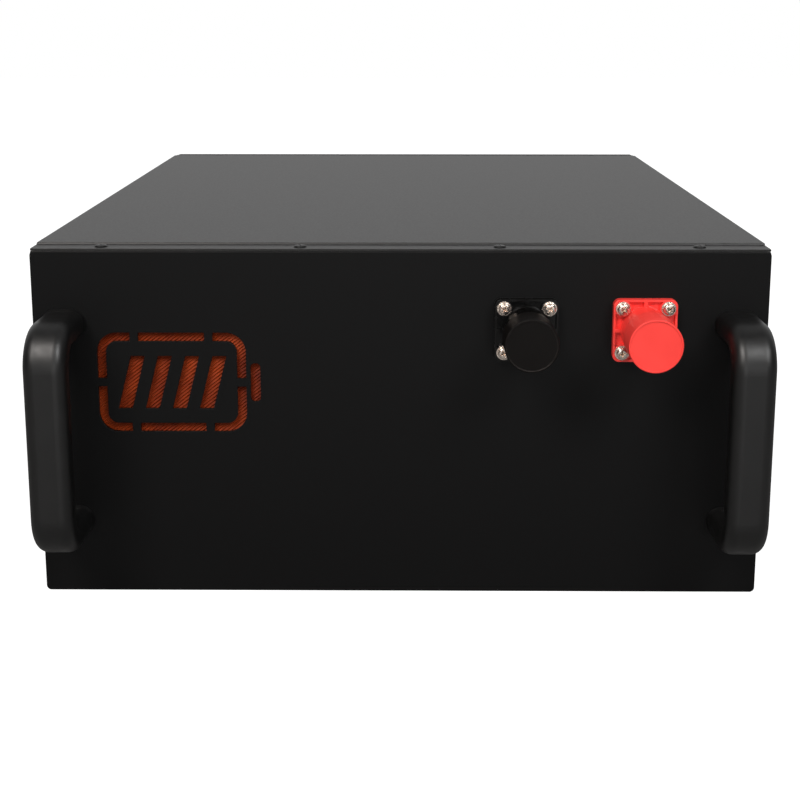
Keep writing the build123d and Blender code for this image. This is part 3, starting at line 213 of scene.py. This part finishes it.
class Finish:
    """Principled material whose colour, roughness and bump come from patterns in the object's own space."""

    def __init__(self, name, metallic=0.0, specular=0.5, stretch=(1, 1, 1)):
        self.material = bpy.data.materials.new(name)
        self.material.use_nodes = True
        self.tree = self.material.node_tree
        self.shader = self.tree.nodes["Principled BSDF"]
        self.shader.inputs["Metallic"].default_value = metallic
        self.shader.inputs["Specular IOR Level"].default_value = specular
        place = self.tree.nodes.new("ShaderNodeTexCoord")
        self.space = self.tree.nodes.new("ShaderNodeMapping")
        self.space.inputs["Scale"].default_value = stretch
        self.link(place.outputs["Object"], self.space.inputs["Vector"])
        self.normal = None

    def link(self, output, socket):
        self.tree.links.new(output, socket)

    def noise(self, per_metre, detail=3.0):
        """Noise with so many features in a metre; its output runs from 0 to 1."""
        pattern = self.tree.nodes.new("ShaderNodeTexNoise")
        pattern.inputs["Scale"].default_value = per_metre
        pattern.inputs["Detail"].default_value = detail
        pattern.inputs["Roughness"].default_value = NOISE_ROUGHNESS
        self.link(self.space.outputs[0], pattern.inputs["Vector"])
        return pattern.outputs["Fac"]

    def grains(self, per_metre):
        """Small cells, such as the dimples of moulded or textured skin."""
        pattern = self.tree.nodes.new("ShaderNodeTexVoronoi")
        pattern.feature = "SMOOTH_F1"
        pattern.inputs["Scale"].default_value = per_metre
        self.link(self.space.outputs[0], pattern.inputs["Vector"])
        return pattern.outputs["Distance"]

    def spread(self, value, low, high, start=0.3, end=0.7):
        """A value between low and high as the pattern goes from start to end."""
        span = self.tree.nodes.new("ShaderNodeMapRange")
        span.inputs["From Min"].default_value = start
        span.inputs["From Max"].default_value = end
        span.inputs["To Min"].default_value = low
        span.inputs["To Max"].default_value = high
        self.link(value, span.inputs["Value"])
        return span.outputs["Result"]

    def blend(self, value, dark, light):
        """Colour between dark and light; dark may be a socket."""
        mix = self.tree.nodes.new("ShaderNodeMix")
        mix.data_type = "RGBA"
        self.link(value, mix.inputs[0])
        for index, colour in zip(MIX_COLOUR_IN, (dark, light)):
            if isinstance(colour, tuple):
                mix.inputs[index].default_value = (*colour, 1)
            else:
                self.link(colour, mix.inputs[index])
        return mix.outputs[MIX_COLOUR_OUT]

    def colour(self, dark, light, per_metre):
        """Base colour that wanders slowly between two close tones."""
        self.tone = self.blend(self.spread(self.noise(per_metre), 0, 1), dark, light)
        self.link(self.tone, self.shader.inputs["Base Color"])
        return self

    def gloss(self, rough, less, more, per_metre):
        """Roughness that wanders from so much less to so much more than its usual value."""
        wander = self.spread(self.noise(per_metre), rough - less, rough + more)
        self.link(wander, self.shader.inputs["Roughness"])
        return self

    def edges(self, radius, edge_wear_and_highlight, share):
        """Softened edges, where the tone goes that share of the way to a lighter edge colour, in patches:
        wear on most finishes, and a painted highlight on the black caps' rims and the inlay's rib crests.
        """
        bevel = self.tree.nodes.new("ShaderNodeBevel")
        bevel.samples = BEVEL_SAMPLES
        bevel.inputs["Radius"].default_value = radius
        shape = self.tree.nodes.new("ShaderNodeNewGeometry")
        match = self.tree.nodes.new("ShaderNodeVectorMath")
        match.operation = "DOT_PRODUCT"
        self.link(bevel.outputs["Normal"], match.inputs[0])
        self.link(shape.outputs["Normal"], match.inputs[1])
        edge = self.spread(match.outputs["Value"], share, 0, EDGE_STARTS, EDGE_ENDS)
        patchy = self.tree.nodes.new("ShaderNodeMath")
        patchy.operation = "MULTIPLY"
        self.link(edge, patchy.inputs[0])
        self.link(self.spread(self.noise(PATCH_PER_METRE), PATCH_LEAST, 1), patchy.inputs[1])
        self.tone = self.blend(patchy.outputs[0], self.tone, edge_wear_and_highlight)
        self.link(self.tone, self.shader.inputs["Base Color"])
        self.normal = bevel.outputs["Normal"]
        return self

    def bump(self, pattern, height, strength):
        """Relief of a pattern, so many metres high, over what is there already."""
        relief = self.tree.nodes.new("ShaderNodeBump")
        relief.inputs["Distance"].default_value = height
        relief.inputs["Strength"].default_value = strength
        self.link(pattern, relief.inputs["Height"])
        if self.normal is not None:
            self.link(self.normal, relief.inputs["Normal"])
        self.normal = relief.outputs["Normal"]
        self.link(self.normal, self.shader.inputs["Normal"])
        return self


def powder_coat(name, dark, light, rough, specular, peel=0.02 * MM):
    """Baked powder paint: fine orange peel over a slower ripple, thinner on the edges."""
    made = Finish(name, specular=specular)
    made.colour(dark, light, per_metre=900.0)
    made.gloss(rough, less=0.03, more=0.03, per_metre=700.0)
    made.edges(radius=0.5 * MM, edge_wear_and_highlight=WORN_PAINT, share=0.6)
    made.bump(made.noise(per_metre=500.0, detail=2.0), height=peel, strength=0.3)
    made.bump(made.noise(per_metre=2200.0, detail=2.0), height=peel * 0.4, strength=0.5)
    return made.material


def moulded(
    name, dark, light, rough, specular, grain, per_metre=1400.0, edge_wear_and_highlight=None, edge=0.35 * MM, share=0.35
):
    """Injection-moulded plastic with a fine spark-eroded grain."""
    made = Finish(name, specular=specular)
    made.colour(dark, light, per_metre=45.0)
    made.gloss(rough, less=0.04, more=0.05, per_metre=160.0)
    made.edges(edge, edge_wear_and_highlight or light, share)
    made.bump(made.grains(per_metre), height=grain, strength=0.6)
    made.bump(made.noise(per_metre=160.0, detail=1.0), height=grain * 1.5, strength=0.35)
    return made.material


def metal(name, dark, light, rough, stretch=(1, 1, 1), per_metre=700.0, depth=0.01 * MM):
    """Bare or plated metal with drawn or turned lines along the stretched axis."""
    made = Finish(name, metallic=1.0, stretch=stretch)
    made.colour(dark, light, per_metre=180.0)
    made.gloss(rough, less=0.06, more=0.08, per_metre=400.0)
    made.edges(radius=0.2 * MM, edge_wear_and_highlight=light, share=0.5)
    made.bump(made.noise(per_metre, detail=4.0), height=depth, strength=0.5)
    return made.material


def soft(name, dark, light, rough, cell, per_metre):
    """Rubber, foam, tape or cable sheath, with cells of a given depth in its skin."""
    made = Finish(name, specular=0.3)
    made.colour(dark, light, per_metre=220.0)
    made.gloss(rough, less=0.05, more=0.05, per_metre=300.0)
    made.bump(made.grains(per_metre), height=cell, strength=0.8)
    return made.material


def ribbed_inlay(name, dark, light, rough):
    """Tinted ribbed plastic with a painted highlight on its crests, and darker in broad patches."""
    made = Finish(name, specular=0.25)
    made.colour(dark, light, per_metre=55.0)
    made.gloss(rough, less=0.06, more=0.06, per_metre=240.0)
    # The bright orange edge colour is a painted highlight along the rib crests.
    made.edges(radius=0.25 * MM, edge_wear_and_highlight=(0.75, 0.16, 0.05), share=0.8)
    made.bump(made.noise(per_metre=900.0, detail=2.0), height=0.02 * MM, strength=0.5)
    return made.material


def can_film(name, dark, light, rough):
    """Shrunk blue film over a drawn can, with faint wrinkles."""
    made = Finish(name, metallic=0.35, stretch=(1, 1, 0.25))
    made.colour(dark, light, per_metre=25.0)
    made.gloss(rough, less=0.08, more=0.08, per_metre=60.0)
    made.edges(radius=0.5 * MM, edge_wear_and_highlight=(0.12, 0.26, 0.55), share=0.5)
    made.bump(made.noise(per_metre=240.0, detail=5.0), height=0.06 * MM, strength=0.6)
    return made.material


def solder_mask(name, dark, light, rough):
    """Green board with the shadow of tracks under its mask."""
    made = Finish(name)
    made.colour(dark, light, per_metre=420.0)
    made.gloss(rough, less=0.075, more=0.075, per_metre=300.0)
    made.edges(radius=0.2 * MM, edge_wear_and_highlight=(0.3, 0.28, 0.12), share=0.5)
    made.bump(made.grains(per_metre=650.0), height=0.03 * MM, strength=0.5)
    return made.material


# Each material slot's maker, darker tone, lighter tone and roughness, and what else its maker takes
SLOT_LOOKS = {
    "panel_black": (powder_coat, (0.0012, 0.0012, 0.0013), (0.0017, 0.0017, 0.0018), 0.5,
                    {"specular": 0.17}),
    # The chassis has the same black paint as the lid. Its lighter base is painted light, so the sides and
    # back, which the lamps barely reach, still read.
    "chassis_black": (powder_coat, (0.013, 0.013, 0.0132), (0.018, 0.018, 0.0182), 0.45,
                      {"specular": 0.5, "peel": 0.04 * MM}),
    # The lid's darker base is partly its own black and partly painted shade, so the lip's front face reads as
    # in the shadow of its gap.
    "lid_black": (powder_coat, (0.0040, 0.0040, 0.0040), (0.0055, 0.0055, 0.0055), 0.5,
                  {"specular": 0.5}),
    "handle_black": (moulded, (0.0012, 0.0012, 0.0012), (0.0020, 0.0020, 0.0020), 0.43,
                     {"specular": 0.55, "grain": 0.012 * MM}),
    "terminal_black": (moulded, (0.0012, 0.0010, 0.0009), (0.002, 0.0018, 0.0016), 0.24,
                       {"specular": 0.28, "grain": 0.006 * MM}),
    "terminal_red": (moulded, (0.88, 0.046, 0.037), (0.95, 0.056, 0.045), 0.3,
                     {"specular": 0.5, "grain": 0.006 * MM}),
    # The black caps' wide, light edge colour is a painted highlight: the rim fillet is drawn light all round,
    # as if it caught the lamps.
    "cap_black": (moulded, (0.0026, 0.0019, 0.0016), (0.0036, 0.0028, 0.0024), 0.48,
                  {"specular": 0.12, "grain": 0.01 * MM, "edge_wear_and_highlight": (0.05, 0.042, 0.039), "edge": 0.9 * MM,
                   "share": 0.9}),
    "cap_red": (moulded, (0.90, 0.050, 0.040), (0.96, 0.060, 0.049), 0.45,
                {"specular": 0.3, "grain": 0.01 * MM}),
    "zinc_steel": (metal, (0.42, 0.42, 0.41), (0.68, 0.67, 0.64), 0.36, {"stretch": (1, 1, 0.2)}),
    "stainless": (metal, (0.66, 0.55, 0.47), (0.94, 0.83, 0.74), 0.22,
                  {"per_metre": 900.0, "depth": 0.003 * MM}),
    "black_screw": (metal, (0.018, 0.018, 0.018), (0.05, 0.05, 0.05), 0.42, {"depth": 0.02 * MM}),
    "brass": (metal, (0.62, 0.40, 0.16), (0.88, 0.66, 0.34), 0.24, {"stretch": (1, 0.15, 1)}),
    "aluminium": (metal, (0.62, 0.63, 0.64), (0.84, 0.85, 0.86), 0.33, {"stretch": (0.1, 1, 1)}),
    "copper": (metal, (0.70, 0.30, 0.18), (0.93, 0.52, 0.38), 0.28, {"stretch": (1, 0.15, 1)}),
    "gasket_rubber": (soft, (0.008, 0.008, 0.008), (0.014, 0.014, 0.014), 0.62,
                      {"cell": 0.02 * MM, "per_metre": 900.0}),
    "tape": (soft, (0.012, 0.012, 0.012), (0.03, 0.03, 0.03), 0.75,
             {"cell": 0.05 * MM, "per_metre": 1200.0}),
    "foam": (soft, (0.05, 0.05, 0.055), (0.11, 0.11, 0.115), 0.85,
             {"cell": 0.2 * MM, "per_metre": 700.0}),
    "insulator": (moulded, (0.58, 0.54, 0.36), (0.74, 0.70, 0.50), 0.42,
                  {"specular": 0.5, "grain": 0.02 * MM, "per_metre": 900.0}),
    "cable_red": (soft, (0.42, 0.016, 0.012), (0.58, 0.028, 0.02), 0.45,
                  {"cell": 0.01 * MM, "per_metre": 700.0}),
    "cable_black": (soft, (0.010, 0.010, 0.010), (0.018, 0.018, 0.018), 0.45,
                    {"cell": 0.01 * MM, "per_metre": 700.0}),
    "plug_white": (moulded, (0.66, 0.64, 0.56), (0.8, 0.78, 0.7), 0.4,
                   {"specular": 0.5, "grain": 0.01 * MM}),
    "inlay_orange": (ribbed_inlay, (0.11, 0.010, 0.002), (0.26, 0.034, 0.006), 0.32, {}),
    "cell_film": (can_film, (0.02, 0.09, 0.30), (0.04, 0.15, 0.42), 0.30, {}),
    "circuit_board": (solder_mask, (0.008, 0.09, 0.03), (0.02, 0.2, 0.07), 0.325, {}),
}

finishes = {
    slot: make(slot, dark, light, rough, **more)
    for slot, (make, dark, light, rough, more) in SLOT_LOOKS.items()
}


def dress(piece, slot):
    """Gives a piece its slot's finish in place of what it has."""
    piece.data.materials.clear()
    piece.data.materials.append(finishes[slot])


for row in frame["record"]["subparts"]:
    dress(frame["nodes"][row["node"]], row["material_slot"])


# ---------------------------------------------------------------- meshes of the finer hardware
SAME_PLACE_DIGITS = 6          # corners closer than a micrometre are one corner
SHARP_ANGLE = math.radians(32)
VEE_DEPTH = 0.54               # of a thread's pitch
RING_SIDES = 44
SCREW_SIDES = 40


def solids(node):
    """Boxes of a node's separate solids, as (lowest corner, highest corner) pairs."""
    mesh = frame["nodes"][node].data
    group = {}

    def root(key):
        while group[key] != key:
            group[key] = group[group[key]]
            key = group[key]
        return key

    keys = [tuple(round(c, SAME_PLACE_DIGITS) for c in v.co) for v in mesh.vertices]
    for key in keys:
        group.setdefault(key, key)
    for face in mesh.polygons:
        first = root(keys[face.vertices[0]])
        for corner in face.vertices[1:]:
            group[root(keys[corner])] = first
    members = {}
    for key in group:
        members.setdefault(root(key), []).append(key)
    boxes = []
    for points in members.values():
        low = Vector(min(p[axis] for p in points) for axis in range(3))
        high = Vector(max(p[axis] for p in points) for axis in range(3))
        boxes.append((low, high))
    return sorted(boxes, key=lambda pair: tuple(pair[0]))


def mesh_of(name, points, faces):
    mesh = bpy.data.meshes.new(name)
    mesh.from_pydata(points, [], faces)
    return mesh


def turned(rows, sides, pitch):
    """Closed mesh turned about Z from (height, radius, thread depth) rows, bottom to top."""
    points, faces = [(0, 0, rows[0][0])], []
    for z, radius, depth in rows:
        for i in range(sides):
            phase = (z / pitch - i / sides) % 1.0
            cut = depth * (1 - abs(2 * phase - 1))
            angle = FULL_TURN * i / sides
            points.append(((radius - cut) * math.cos(angle), (radius - cut) * math.sin(angle), z))
    points.append((0, 0, rows[-1][0]))
    top = 1 + (len(rows) - 1) * sides
    for i in range(sides):
        j = (i + 1) % sides
        faces.append((0, 1 + j, 1 + i))
        for level in range(len(rows) - 1):
            low, high = 1 + level * sides, 1 + (level + 1) * sides
            faces.append((low + i, low + j, high + j, high + i))
        faces.append((top + i, top + j, len(points) - 1))
    return mesh_of("turned", points, faces)


def lofted(name, outlines, closed):
    """Mesh through outlines of as many points each: closed into a loop, or else capped at both ends."""
    count = len(outlines[0])
    points = [point for outline in outlines for point in outline]
    faces = []
    for k in range(len(outlines) if closed else len(outlines) - 1):
        here, there = count * k, count * ((k + 1) % len(outlines))
        for c in range(count):
            d = (c + 1) % count
            faces.append((here + c, here + d, there + d, there + c))
    if not closed:
        faces.append(tuple(range(count - 1, -1, -1)))
        faces.append(tuple(range(len(points) - count, len(points))))
    return mesh_of(name, points, faces)


def thread_rows(start, end, radius, pitch, steps=10):
    """Rows of a vee thread between two heights, which fades over its first and last turn."""
    count = max(2, round((end - start) / pitch * steps))
    rows = []
    for k in range(count + 1):
        z = start + (end - start) * k / count
        fade = min(1.0, (z - start) / pitch, (end - z) / pitch)
        rows.append((z, radius, VEE_DEPTH * pitch * max(0.0, fade)))
    return rows


def as_object(name, mesh):
    piece = bpy.data.objects.new(name, mesh)
    scene.collection.objects.link(piece)
    return piece


def cut_out(body, tool):
    """The body's mesh with the tool's taken out of it."""
    body_object, tool_object = as_object("body", body), as_object("tool", tool)
    cut = body_object.modifiers.new("cut", "BOOLEAN")
    cut.operation = "DIFFERENCE"
    cut.solver = "EXACT"
    cut.object = tool_object
    ready = body_object.evaluated_get(bpy.context.evaluated_depsgraph_get())
    result = bpy.data.meshes.new_from_object(ready)
    bpy.data.objects.remove(body_object)
    bpy.data.objects.remove(tool_object)
    return result


def cross_recess(head_radius, top, depth):
    """Tapered four-winged driver recess that opens just above the head's top."""
    wing_tip, wing_half, notch = 0.68, 0.14, 0.15       # of the head's radius
    taper = 0.12
    proud = 0.1 * MM
    outline = []
    for quarter in range(4):
        turn = Matrix.Rotation(math.pi / 2 * quarter, 2)
        for corner in ((wing_tip, -wing_half), (wing_tip, wing_half), (notch, notch)):
            outline.append(turn @ Vector(corner))
    levels = ((top - depth, taper), (top + proud, 1.0))
    outlines = [
        [(p.x * head_radius * scale, p.y * head_radius * scale, z) for p in outline] for z, scale in levels
    ]
    return lofted("recess", outlines, closed=False)


def cross_screw(head_radius, head_height, shank_radius, length, crown):
    """Pan head with a cross recess, seated at z = 0, over a threaded shank; crown is its rounded share."""
    pitch = 0.7 * MM
    point, point_length, plain_neck = 0.75, 0.4 * MM, 0.3 * MM
    foot, foot_height = 0.97, 0.08        # softened lower rim, of the head's radius and height
    flat_top = 0.55                       # of the head's radius
    crown_steps = 8
    crown_start = head_height * (1 - crown)
    rows = [(-length, shank_radius * point, 0.0)]
    rows += thread_rows(-length + point_length, -plain_neck, shank_radius, pitch, steps=6)
    rows += [(0.0, shank_radius, 0.0), (0.0, head_radius * foot, 0.0)]
    rows += [(head_height * foot_height, head_radius, 0.0), (crown_start, head_radius, 0.0)]
    for k in range(1, crown_steps + 1):
        angle = math.pi / 2 * k / crown_steps
        z = crown_start + head_height * crown * math.sin(angle)
        rows.append((z, head_radius * (flat_top + (1 - flat_top) * math.cos(angle)), 0.0))
    recess_depth = min(0.8 * head_height, 2.0 * MM)
    return cut_out(turned(rows, SCREW_SIDES, pitch), cross_recess(head_radius, head_height, recess_depth))


def split_ring(inner, outer, thickness):
    """Spring lock washer: a square-section ring with its cut ends sprung a little apart."""
    gap_angle = 0.12
    spring = thickness * 0.12
    section = ((inner, 0), (outer, 0), (outer, thickness), (inner, thickness))
    outlines = []
    for k in range(RING_SIDES + 1):
        angle = gap_angle / 2 + (FULL_TURN - gap_angle) * k / RING_SIDES
        lift = spring * (k / RING_SIDES - 0.5)
        outlines.append([(r * math.cos(angle), r * math.sin(angle), z + lift) for r, z in section])
    return lofted("ring", outlines, closed=False)


def flat_ring(inner, outer, thickness):
    """Flat washer with a softened outer rim."""
    rim = thickness * 0.25
    section = (
        (inner, 0), (outer - rim, 0), (outer, rim), (outer, thickness - rim), (outer - rim, thickness),
        (inner, thickness),
    )
    outlines = []
    for k in range(RING_SIDES):
        angle = FULL_TURN * k / RING_SIDES
        outlines.append([(r * math.cos(angle), r * math.sin(angle), z) for r, z in section])
    return lofted("washer", outlines, closed=True)


def assemble(name, parts, slot, body, node):
    """One object of (mesh, matrix) parts that stands for a CAD node."""
    points, faces = [], []
    for mesh, place in parts:
        start = len(points)
        points += [place @ v.co for v in mesh.vertices]
        faces += [tuple(start + i for i in face.vertices) for face in mesh.polygons]
    joined = mesh_of(name, points, faces)
    joined.polygons.foreach_set("use_smooth", [True] * len(joined.polygons))
    joined.update()
    joined.set_sharp_from_angle(angle=SHARP_ANGLE)
    piece = as_object(name, joined)
    dress(piece, slot)
    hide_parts(node)
    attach(piece, body)


def seat(place, outward, turn):
    """Matrix that stands a part made along +Z on a place, facing outwards, turned about its own axis."""
    upright = Vector(outward).to_track_quat("Z", "Y").to_matrix().to_4x4()
    return Matrix.Translation(place) @ upright @ Matrix.Rotation(turn, 4, "Z")


# ---------------------------------------------------------------- screws, washers and studs
FRONTWARD, REARWARD, UPWARD = (0, -1, 0), (0, 1, 0), (0, 0, 1)
M4_HEAD = 3.8 * MM
M4_THREAD = 1.95 * MM
TERMINAL_HEAD = 3.4 * MM
LOW_HEAD_HEIGHT = 1.1 * MM
PAN_HEAD_HEIGHT = 2.6 * MM
FIRST_STOP, NEXT_STOP = 0.4, 0.73      # turn of the first screw's cross, and what each next adds, in radians
WASHER_TURN = 1.9                      # from each pair of washers to the next, in radians


def screw_set(name, node, outward, head_radius, head_height, slot, crown):
    """Cross-recess screws where the node's own stand, each stopped at its own angle."""
    axis = max(range(3), key=lambda i: abs(outward[i]))
    parts = []
    for index, (low, high) in enumerate(solids(node)):
        foot = (low + high) / 2
        top = high[axis] if outward[axis] > 0 else low[axis]
        foot[axis] = top - outward[axis] * head_height
        length = high[axis] - low[axis] - head_height
        turn = (index * NEXT_STOP + FIRST_STOP) % (math.pi / 2)
        mesh = cross_screw(head_radius, head_height, M4_THREAD, length, crown)
        parts.append((mesh, seat(foot, outward, turn)))
    assemble(name, parts, slot, "chassis", node)


def terminal_washers():
    """A flat and a spring washer in the space under each terminal screw's head."""
    flat_bore, flat_share = 2.25 * MM, 0.5
    split_bore, split_size, split_start, split_share = 2.2 * MM, 0.86, 0.53, 0.42
    parts = []
    for index, (low, high) in enumerate(solids("terminal_screw_washers")):
        thickness = high.y - low.y
        outer = (high.x - low.x) / 2
        back = Vector(((low.x + high.x) / 2, high.y, (low.z + high.z) / 2))
        turn = index * WASHER_TURN
        flat = flat_ring(flat_bore, outer, thickness * flat_share)
        parts.append((flat, seat(back, FRONTWARD, turn)))
        raised = back - Vector((0, thickness * split_start, 0))
        split = split_ring(split_bore, outer * split_size, thickness * split_share)
        parts.append((split, seat(raised, FRONTWARD, turn)))
    assemble("terminal_washers_fine", parts, "stainless", "chassis", "terminal_screw_washers")


def terminal_stud_set():
    """Turned studs: a threaded M8 end, a collar, a plain shank and a threaded M10 tail."""
    m8, m8_pitch = 4.0 * MM, 1.25 * MM
    m10, m10_pitch = 5.0 * MM, 1.5 * MM
    collar, collar_seat, collar_height = 9.0 * MM, 28.0 * MM, 1.2 * MM
    tail_length = 20.0 * MM
    point, rim, undercut = 0.8 * MM, 0.2 * MM, 0.1 * MM
    sides = 56
    collar_top = collar_seat + collar_height
    parts = []
    for low, high in solids("terminal_studs"):
        tip, tail = panel_lo.y - low.y, panel_lo.y - high.y      # heights over the panel's face
        tail_end = tail + tail_length
        rows = [(tail, m10 - point, 0.0)]
        rows += thread_rows(tail + point, tail_end, m10, m10_pitch)
        rows += [(tail_end, m10, 0.0), (collar_seat, m10, 0.0)]
        rows += [(collar_seat, collar - rim, 0.0), (collar_seat + rim, collar, 0.0)]
        rows += [(collar_top - rim, collar, 0.0), (collar_top, collar - rim, 0.0)]
        rows += [(collar_top, m8, 0.0)]
        rows += thread_rows(collar_top + undercut, tip - point, m8, m8_pitch)
        rows += [(tip, m8 - point, 0.0)]
        place = Vector(((low.x + high.x) / 2, panel_lo.y, (low.z + high.z) / 2))
        parts.append((turned(rows, sides, m8_pitch), seat(place, FRONTWARD, 0.0)))
    assemble("terminal_studs_fine", parts, "brass", "chassis", "terminal_studs")


for name, node, outward, head_radius, head_height, slot, crown in (
    ("lid_screws_fine", "lid_screws", UPWARD, M4_HEAD, LOW_HEAD_HEIGHT, "black_screw", 0.75),
    ("rear_screws_fine", "rear_panel_screws", REARWARD, M4_HEAD, PAN_HEAD_HEIGHT, "black_screw", 0.5),
    ("terminal_screws_fine", "terminal_screws", FRONTWARD, TERMINAL_HEAD, PAN_HEAD_HEIGHT, "stainless", 0.35),
):
    screw_set(name, node, outward, head_radius, head_height, slot, crown)
terminal_washers()
terminal_stud_set()
